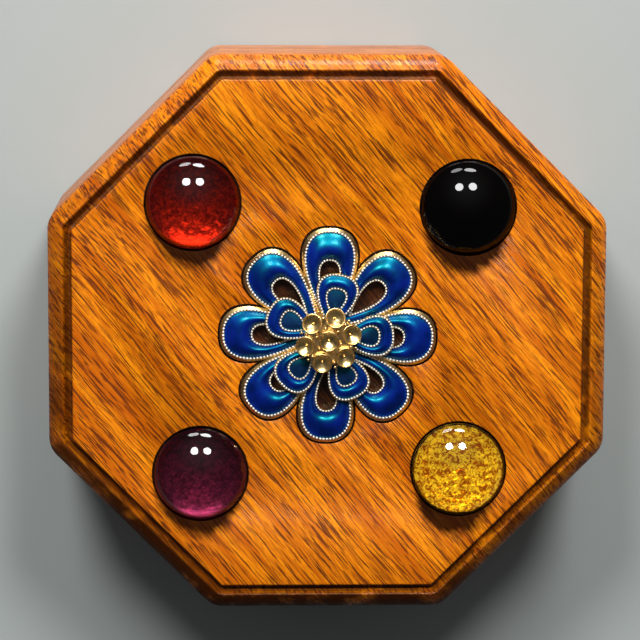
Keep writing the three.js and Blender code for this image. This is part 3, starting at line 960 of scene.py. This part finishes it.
def build_foil(colour, material, crinkle, seed):
    """A thin crinkled dish just inside the stone's flat back and its upright edge."""
    setting = sizes("settings")
    middle, stone_radius, foot, _ = stone_place(colour)
    radius = stone_radius - setting.foil_inset
    face_radius = radius - setting.foil_thickness
    face = foot + setting.foil_rise
    side = foot + setting.foil_side * setting.girdle
    back = foot + 0.08 * MM
    back_inset = 0.3 * MM
    mean_fold = 0.3
    around, across, level_rows = 120, 34, 4
    pinhole = 0.002
    circle = [polar(1.0, 2 * math.pi * i / around) for i in range(around)]

    def flat_ring(reach, z):
        return [point * reach + Vector((0, 0, z)) for point in circle]

    rings = [flat_ring(radius, foot + setting.edge_round), flat_ring(radius, side)]
    rings.append(flat_ring(face_radius, side))
    shares = [row / across for row in range(across, 0, -1)]
    for share in (*shares, pinhole):
        swell = setting.foil_dome * (1 - share**2)
        height = crinkle * min(1.0, (1 - share) * across / level_rows)
        ring = []
        for point in flat_ring(face_radius * share, 0.0):
            lift = face + swell + height * (fold_height(point, seed) - mean_fold)
            ring.append(point + Vector((0, 0, lift)))
        rings.append(ring)
    rings += [flat_ring(radius * pinhole, back), flat_ring(radius - back_inset, back)]
    made = solid(f"{colour}_foil", loft(rings, closed=True), material)
    made.location = (middle.x, middle.y, 0.0)
    return finish_piece(made, [], crease=60)


# The flower


def along_outline(outline, pitch):
    """Points at even steps of about one pitch along a closed outline."""
    closed = np.vstack([outline, outline[:1]])
    steps = np.linalg.norm(np.diff(closed, axis=0), axis=1)
    run = np.concatenate([[0], np.cumsum(steps)])
    count = max(8, round(run[-1] / pitch))
    places = np.arange(count) * run[-1] / count
    return np.column_stack([np.interp(places, run, closed[:, axis]) for axis in range(2)])


def bead_shape(radius, rows=5, columns=8):
    """A small ball with a flat at each pole."""
    polar_gap = 0.35
    profile = []
    for row in range(rows + 1):
        angle = math.pi * (row + polar_gap) / (rows + 2 * polar_gap)
        profile.append((radius * math.sin(angle), -radius * math.cos(angle)))
    return lathe(profile, columns)


def beads_on(outline, z, angle, radius, pitch, seed):
    """Balls of slightly uneven size along an outline turned to a petal's place."""
    places = turned(level(along_outline(outline, pitch), z), angle)
    random = np.random.default_rng(seed)
    points, faces = bead_shape(radius)
    unevenness = 0.1
    shapes = []
    for place in places:
        size = 1 + unevenness * random.uniform(-1, 1)
        shapes.append((points * size + place, faces))
    return shapes


def cell_cutter(outer, inner, floor, over, angle):
    """Cutter for the ring-shaped cell between two outlines of one petal."""
    rings = [level(outer, over), level(inner, over), level(inner, floor), level(outer, floor)]
    return loft(rings, closed=True, turn=angle)


def petal_plate(name, angles, outline, skirt, cell, hole, middles):
    """A gilt plate of overlapping petals, with a cell and a hole cut into each.

    The skirt is (margin, height) pairs round a petal. The cell is (outer outline, inner outline,
    floor), the hole is (outline, floor), and the middles are the lathed shapes that tie the petals.
    """
    over = skirt[-1][1] + OVERRUN
    hole_outline, hole_floor = hole
    petals, cutters = [], []
    for angle in angles:
        petals.append(loft([level(outline(margin), z) for margin, z in skirt], turn=angle))
        cutters.append(cell_cutter(*cell, over, angle))
        cutters.append(loft([level(hole_outline, z) for z in (hole_floor, over)], turn=angle))
    made = solid(name, together([*petals, *middles]), gilt_material())
    return cut(made, together(cutters))


def move(made, shift):
    """Moves a mesh object's own points along Y."""
    made.data.transform(Matrix.Translation((0, shift, 0)))


def build_wires(name, angles, z, rows, shift=0.0):
    """Beads along every petal. Each row is (outline, radius of a bead, pitch, seed of its first petal)."""
    shapes = []
    for i, angle in enumerate(angles):
        for outline, radius, pitch, seed in rows:
            shapes += beads_on(outline, z, angle, radius, pitch, seed + i)
    made = solid(name, together(shapes), bead_material())
    move(made, shift)
    return finish_piece(made, [], crease=80)


def build_outer_petals():
    flower = sizes("flower")
    low, top = OUTER_LOW.z, OUTER_HIGH.z
    half_wire = flower.wire / 2
    skirt = [
        (flower.flange, low),
        (flower.flange, top - flower.flange_drop),
        (0.93 * flower.flange, top - 0.5 * MM),
        (half_wire + 0.08 * MM, top - 0.07 * MM),
        (half_wire, top),
    ]
    cell = (outer_drop(-half_wire), opening_drop(flower.wire), top - flower.cell_depth)
    hole = (opening_drop(0.0), low - OVERRUN)
    centre_top = top - 0.25 * MM
    centre = lathe([(flower.centre_radius, low), (flower.centre_radius, centre_top)], 96)
    made = petal_plate("outer_petal_plate", outer_angles(), outer_drop, skirt, cell, hole, [centre])
    return finish_piece(made, ["outer_petals"])


def build_outer_wires():
    flower = sizes("flower")
    radius, pitch = flower.bead_radius, flower.bead_pitch
    rows = (
        (outer_drop(0.0, 240), radius, pitch, 0),
        (opening_drop(flower.wire / 2, 240), 0.9 * radius, 0.85 * pitch, 20),
    )
    return build_wires("outer_beaded_wires", outer_angles(), OUTER_HIGH.z + 0.06 * MM, rows)


def enamel_shape(outer, inner, z_floor, z_edge, swell, steps=12):
    """A ring of enamel that swells between two outlines, more where it is wider.

    Its crest lies nearer the inner outline, by the power that its shares are raised to.
    """
    lean = 1.35
    width = np.linalg.norm(outer - inner, axis=1)
    crest = swell * (width / width.max()) ** 0.9
    rings = [level(outer, z_floor)]
    for step in range(steps + 1):
        share = step / steps
        leaning = share**lean
        rise = z_edge + crest * 4 * leaning * (1 - leaning)
        rings.append(np.column_stack([outer + share * (inner - outer), rise]))
    rings.append(level(inner, z_floor))
    return loft(rings, closed=True)


def build_enamel(name, node, shape, angle, material, shift=0.0):
    points, faces = shape
    made = solid(name, moved((turned(points, angle), faces), y=shift), material)
    return finish_piece(made, [node], crease=50)


def build_ribs():
    """Rows of short ribs on the middle of the outer plate, between neighbouring petals."""
    ribs, first, spacing = 11, 5.6 * MM, 0.5 * MM
    half_width, half_height = 0.19 * MM, 0.2 * MM
    least_half_length, growth = 0.4 * MM, 0.03 * MM
    top = OUTER_HIGH.z - 0.2 * MM
    ball, faces = bead_shape(1.0)
    shapes = []
    for angle in outer_angles():
        for rib in range(ribs):
            points = ball * np.array([half_width, least_half_length + rib * growth, half_height])
            points = points + np.array([first + rib * spacing, 0.0, top])
            shapes.append((turned(points, angle + math.pi / OUTER_PETALS), faces))
    made = solid("outer_ribs", together(shapes), gilt_material())
    return finish_piece(made, [], crease=80)


def build_outer_enamel():
    flower = sizes("flower")
    top, gap = OUTER_HIGH.z, flower.enamel_gap
    outer = outer_drop(-flower.wire / 2 - gap, 96)
    inner = opening_drop(flower.wire + gap, 96)
    floor = top - flower.cell_depth + gap
    shape = enamel_shape(outer, inner, floor, top - flower.enamel_edge, flower.enamel_swell)
    material = enamel_material("blue_enamel", tuple(sizes("finishes").blue))
    for i, angle in enumerate(outer_angles(), start=1):
        build_enamel(f"outer_petal_enamel_{i}", f"outer_enamel_{i}", shape, angle, material)


def build_inner_petals():
    flower = sizes("flower")
    top = INNER_HIGH.z
    low = top - flower.inner_thickness
    half_wire = flower.wire / 2
    edge = flower.inner_flange
    boss_radius = 2 * MM
    skirt = [
        (edge - 0.1 * MM, low),
        (edge, low + 0.15 * MM),
        (edge, top - 0.2 * MM),
        (edge - 0.08 * MM, top),
    ]
    cell_floor = top - flower.cell_depth
    cell = (inner_drop(-half_wire), eye_drop(half_wire), cell_floor)
    hole = (eye_drop(-half_wire), cell_floor)
    middles = [
        lathe([(boss_radius, INNER_LOW.z), (boss_radius, top)], 48),
        lathe([(flower.inner_centre_radius, low), (flower.inner_centre_radius, top)], 64),
    ]
    made = petal_plate("inner_petal_plate", inner_angles(), inner_drop, skirt, cell, hole, middles)
    move(made, flower.upper_shift)
    return finish_piece(made, ["inner_petals"])


def build_inner_wires():
    flower = sizes("flower")
    radius, pitch = 0.88 * flower.bead_radius, 0.9 * flower.bead_pitch
    rows = (
        (inner_drop(0.0, 200), radius, pitch, 40),
        (eye_drop(0.0, 200), radius, pitch, 60),
    )
    height = INNER_HIGH.z + 0.08 * MM
    return build_wires("inner_beaded_wires", inner_angles(), height, rows, flower.upper_shift)


def eye_shape(floor, edge, steps=8):
    """A low cushion of enamel that fills an inner petal's eye."""
    flower = sizes("flower")
    outline = eye_drop(-flower.wire / 2 - flower.enamel_gap, 64)
    middle = outline.mean(axis=0)
    rings = [level(outline, floor)]
    for step in range(steps):
        share = step / steps
        rise = flower.eye_swell * math.sin(share * math.pi / 2)
        rings.append(level(outline + share * (middle - outline), edge + rise))
    return loft(rings)


def build_inner_enamel():
    flower = sizes("flower")
    colours = sizes("finishes")
    inset = flower.wire / 2 + flower.enamel_gap
    floor = INNER_HIGH.z - flower.cell_depth + flower.enamel_gap
    edge = INNER_HIGH.z - flower.enamel_edge
    petal = enamel_shape(inner_drop(-inset, 80), eye_drop(inset, 80), floor, edge, flower.inner_swell)
    eye = eye_shape(floor, edge)
    blue = enamel_material("inner_blue_enamel", tuple(colours.blue))
    teal = enamel_material("teal_enamel", tuple(colours.teal))
    pieces = (
        ("inner_petal_enamel", "inner_enamel", petal, blue, "blue_enamel"),
        ("inner_petal_eye", "eye_enamel", eye, teal, "teal_enamel"),
    )
    for i, angle in enumerate(inner_angles(), start=1):
        for name, node, shape, material, slot in pieces:
            build_enamel(f"{name}_{i}", f"{node}_{i}", shape, angle, material, flower.upper_shift)


def cup_shape():
    """A shallow dish with a rounded rim, a dimple and a small ball in it."""
    flower = sizes("flower")
    radius, height, foot = flower.cup_radius, flower.cup_height, flower.cup_foot
    rim = 0.16 * MM
    floor = 0.75 * MM
    dimple_depth, dimple_reach = 0.14 * MM, 0.45 * MM
    ball_radius, ball_sunk = 0.26 * MM, 0.02 * MM
    outside_steps, rim_steps, dish_steps = 8, 8, 14
    profile = [(foot, 0.0)]
    for step in range(1, outside_steps + 1):
        share = step / outside_steps
        profile.append((foot + (radius - foot) * share**0.8, (height - rim) * share**1.5))
    for step in range(1, rim_steps + 1):
        turn = step / rim_steps * math.pi
        profile.append((radius - rim + rim * math.cos(turn), height - rim + rim * math.sin(turn)))
    dish = radius - 2 * rim
    for step in range(1, dish_steps):
        share = 1 - step / dish_steps
        dimple = dimple_depth * math.exp(-((dish * share / dimple_reach) ** 2))
        profile.append((dish * share, floor - dimple + (height - rim - floor) * share**2))
    ball = moved(bead_shape(ball_radius), z=floor - ball_sunk)
    return together([lathe(profile, 48), ball])


def pegs(angle, z):
    """Three small balls in a row outward, between two of the cups."""
    shapes = []
    for distance, radius, rise in ((2.7, 0.5, 0.75), (4.9, 0.5, 0.6), (6.0, 0.38, 0.25)):
        place = polar(distance * MM, angle, z + rise * MM)
        shapes.append(moved(bead_shape(radius * MM), *place))
    return shapes


def build_cups():
    flower = sizes("flower")
    outer_cups = 6
    middle_foot = CUPS_HIGH.z - flower.cup_height
    ring_foot = middle_foot - flower.centre_cup_rise
    thickness, bevel, boss_radius = 1 * MM, 0.3 * MM, 2.2 * MM
    carrier = flower.cup_ring + 0.6 * MM
    carrier_top = ring_foot + 0.4 * MM
    carrier_low = carrier_top - thickness
    boss = [(boss_radius, CUPS_LOW.z), (boss_radius, carrier_low + 0.5 * MM)]
    plate = [(carrier - bevel, carrier_low), (carrier, carrier_low + bevel), (carrier - bevel, carrier_top)]
    post = [(1.5 * MM, carrier_top - 0.2 * MM), (1.2 * MM, middle_foot + 0.2 * MM)]
    points, faces = cup_shape()
    shapes = [lathe(boss, 40), lathe(plate, 64), lathe(post, 32), moved((points, faces), z=middle_foot)]
    lean = np.array(Matrix.Rotation(flower.cup_tilt, 3, "Y"))
    leaning = points @ lean.T + np.array([flower.cup_ring, 0, ring_foot])
    for i in range(outer_cups):
        angle = flower.cup_angle + i * 2 * math.pi / outer_cups
        shapes.append((turned(leaning, angle), faces))
        shapes += pegs(angle + math.pi / outer_cups, carrier_top)
    made = solid("cup_cluster_gilt", together(shapes), gilt_material())
    move(made, flower.upper_shift)
    return finish_piece(made, ["cup_cluster"], crease=50)


# The studio


def area_lamp(name, place, aim, power, size, size_y=None):
    """A round lamp, or an oval one where size_y is given."""
    data = bpy.data.lights.new(name, "AREA")
    data.shape = "ELLIPSE" if size_y else "DISK"
    data.size = size
    if size_y:
        data.size_y = size_y
    data.energy = power
    data.cycles.is_caustics_light = True
    lamp = bpy.data.objects.new(name, data)
    lamp.location = place
    lamp.rotation_mode = "QUATERNION"
    lamp.rotation_quaternion = (Vector(aim) - Vector(place)).to_track_quat("-Z", "Y")
    bpy.context.scene.collection.objects.link(lamp)
    return lamp


def light_room(scene, stage):
    """A dim room, with a soft glow about the two main lamps."""
    g = Graph(bpy.data.worlds.new("room"), "Background")
    direction = g.add("TexCoord").outputs["Generated"]
    toward_glow = Vector((0.0, 0.62, 0.78)).normalized()
    nearness = g.add("VectorMath", {0: direction, 1: toward_glow}, operation="DOT_PRODUCT")
    tightness = 5.0
    glow = g.math("POWER", g.math("MAXIMUM", nearness.outputs["Value"], 0.0), tightness)
    strength = g.math("MULTIPLY_ADD", glow, stage.glow, stage.fill)
    daylight = (0.97, 0.98, 1.0, 1)
    scene.world = g.shade(Color=daylight, Strength=strength)


def build_lamps(stage):
    """Two round main lamps high behind the box, and two wide dim ones low behind it."""
    aim = Vector((0, 0, FIELD_Z))
    for name, sideways in (("key_left", -0.235), ("key_right", 0.2)):
        direction = Vector((sideways, 0.66, 0.76)).normalized()
        area_lamp(name, aim + direction * stage.key_distance, aim, stage.key_power, stage.key_size)
    low_width, low_height = 0.3, 0.12
    low_lamps = (
        ("low_left", Vector((-0.22, 0.9, 0.2)), 0.55),
        ("low_right", Vector((0.12, 0.9, 0.24)), 1.1),
    )
    for name, offset, share in low_lamps:
        area_lamp(name, aim + offset, aim, share * stage.low_power, low_width, low_height)


def build_camera(scene, stage):
    """The camera of the photo, which looks down on the lid from a little towards +Y."""
    data = bpy.data.cameras.new("camera")
    data.sensor_width = 36
    data.lens = stage.focal_length
    data.clip_start = 0.01
    camera = bpy.data.objects.new("camera", data)
    right = Vector((0.99943, 0.00347, 0.03348))
    up = Vector((0.00121, 0.99032, -0.13878))
    back = Vector((-0.03364, 0.13874, 0.98976))
    turn = Matrix((right, up, back)).transposed()
    place = Vector((-23.34 * MM, 92.62 * MM, FIELD_Z + 636.91 * MM))
    camera.matrix_world = Matrix.Translation(place) @ turn.to_4x4()
    scene.collection.objects.link(camera)
    scene.camera = camera


def build_stage():
    stage = sizes("stage")
    scene = bpy.context.scene
    half = 3.0
    corners = [(-half, -half, 0), (half, -half, 0), (half, half, 0), (-half, half, 0)]
    matt = plain_material("ground", tuple(sizes("finishes").ground))
    solid("ground", (corners, [(0, 1, 2, 3)]), matt)
    build_lamps(stage)
    light_room(scene, stage)
    build_camera(scene, stage)
    scene.view_settings.view_transform = "Standard"


# Operators


class TRINKET_OT_stage(Operator):
    """Make the floor, the lamps and the camera"""

    bl_idname = "trinket.stage"
    bl_label = "Studio"

    def execute(self, context):
        build_stage()
        return {"FINISHED"}


class TRINKET_OT_box(Operator):
    """Build the wooden base and lid"""

    bl_idname = "trinket.box"
    bl_label = "Wooden Box"

    def execute(self, context):
        build_base()
        build_lid()
        return {"FINISHED"}


class TRINKET_OT_stones(Operator):
    """Build the four glass stones with their foils"""

    bl_idname = "trinket.stones"
    bl_label = "Glass Stones"

    def execute(self, context):
        colours = sizes("finishes")
        build_stone("black", black_glass_material())
        for seed, (colour, foil) in enumerate(FOILS.items(), start=1):
            glass = build_stone(colour, glass_material(f"{colour}_glass", tuple(getattr(colours, colour))))
            metal = foil_material(f"{colour}_foil", foil, stone_place(colour)[1])
            backing = build_foil(colour, metal, foil.crinkle, 10.0 * seed)
            glass.cycles.is_caustics_caster = True
            backing.cycles.is_caustics_receiver = True
        return {"FINISHED"}


class TRINKET_OT_outer_petals(Operator):
    """Build the flower's outer layer: plate, beaded wires and enamel"""

    bl_idname = "trinket.outer_petals"
    bl_label = "Outer Petals"

    def execute(self, context):
        build_outer_petals()
        build_outer_wires()
        build_ribs()
        build_outer_enamel()
        return {"FINISHED"}


class TRINKET_OT_inner_petals(Operator):
    """Build the flower's inner layer: plate, beaded wires, enamel and eyes"""

    bl_idname = "trinket.inner_petals"
    bl_label = "Inner Petals"

    def execute(self, context):
        build_inner_petals()
        build_inner_wires()
        build_inner_enamel()
        return {"FINISHED"}


class TRINKET_OT_cups(Operator):
    """Build the cluster of small gilt cups"""

    bl_idname = "trinket.cups"
    bl_label = "Cup Cluster"

    def execute(self, context):
        build_cups()
        return {"FINISHED"}


OPERATORS = (
    TRINKET_OT_stage,
    TRINKET_OT_box,
    TRINKET_OT_stones,
    TRINKET_OT_outer_petals,
    TRINKET_OT_inner_petals,
    TRINKET_OT_cups,
)


class TRINKET_PT_panel(Panel):
    """Lists the sizes, the colours and the pieces"""

    bl_idname = "TRINKET_PT_panel"
    bl_label = "Trinket Box"
    bl_space_type = "VIEW_3D"
    bl_region_type = "UI"
    bl_category = "Trinket Box"

    def draw(self, context):
        for operator in OPERATORS:
            self.layout.operator(operator.bl_idname)
        for name, group in GROUPS.items():
            column = self.layout.column(heading=group.__name__)
            for key in group.__annotations__:
                column.prop(getattr(context.scene, name), key)


CLASSES = (*GROUPS.values(), *OPERATORS, TRINKET_PT_panel)


def register():
    for item in CLASSES:
        bpy.utils.register_class(item)
    for name, group in GROUPS.items():
        setattr(bpy.types.Scene, name, PointerProperty(type=group))


def unregister():
    for name in GROUPS:
        delattr(bpy.types.Scene, name)
    for item in reversed(CLASSES):
        bpy.utils.unregister_class(item)


def main():
    register()
    for operator in OPERATORS:
        group, name = operator.bl_idname.split(".")
        getattr(getattr(bpy.ops, group), name)()
    bpy.context.view_layer.update()


if __name__ == "__main__":
    main()
